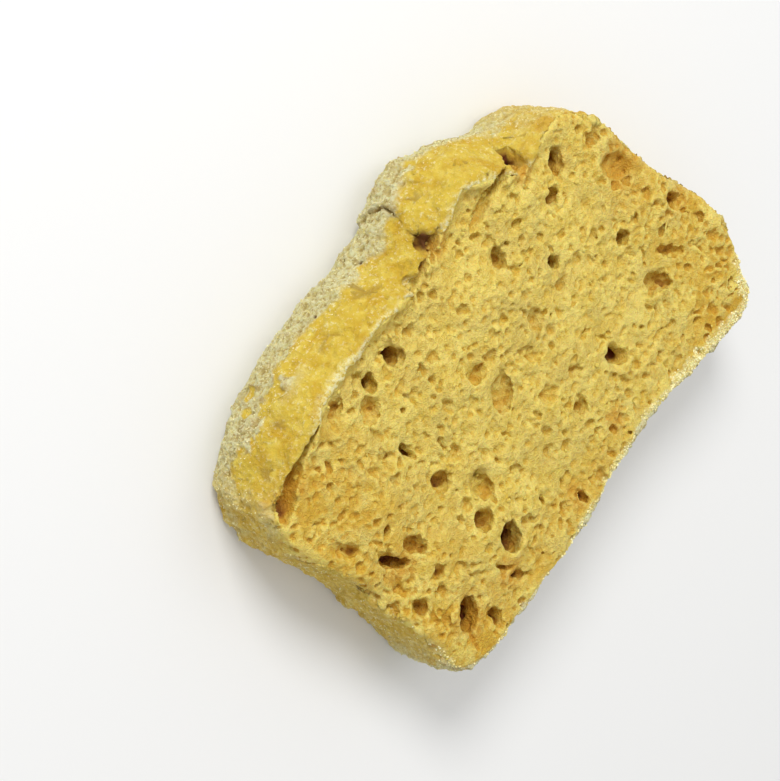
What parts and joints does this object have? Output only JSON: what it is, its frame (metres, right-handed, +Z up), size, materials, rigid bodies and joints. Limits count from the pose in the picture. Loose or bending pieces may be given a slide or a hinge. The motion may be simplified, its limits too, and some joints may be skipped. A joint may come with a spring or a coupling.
{
  "type": "toasted bread slice",
  "caption": "Thick slice of rustic bread, toasted and buttered, with an open crumb and a floured crust, lying on its cut face.",
  "frame": {"origin": "under the middle of the slice's box, on the cut face that it lies on", "axes": "+X along the slice to its rounded pale end, -Y to the domed top crust, +Y to the flat bottom crust, +Z up through the thickness to the cut face that shows"},
  "size_m": [0.1252, 0.0862, 0.0231],
  "materials": {
    "crumb": "dry open toasted bread with a thin soaked-in film of butter",
    "crust": "golden baked crust dusted with pale flour",
    "flour": "loose flour grains and bread crumbs"
  },
  "bodies": {
    "root": {"toast": "crumb"}
  },
  "joints": []
}
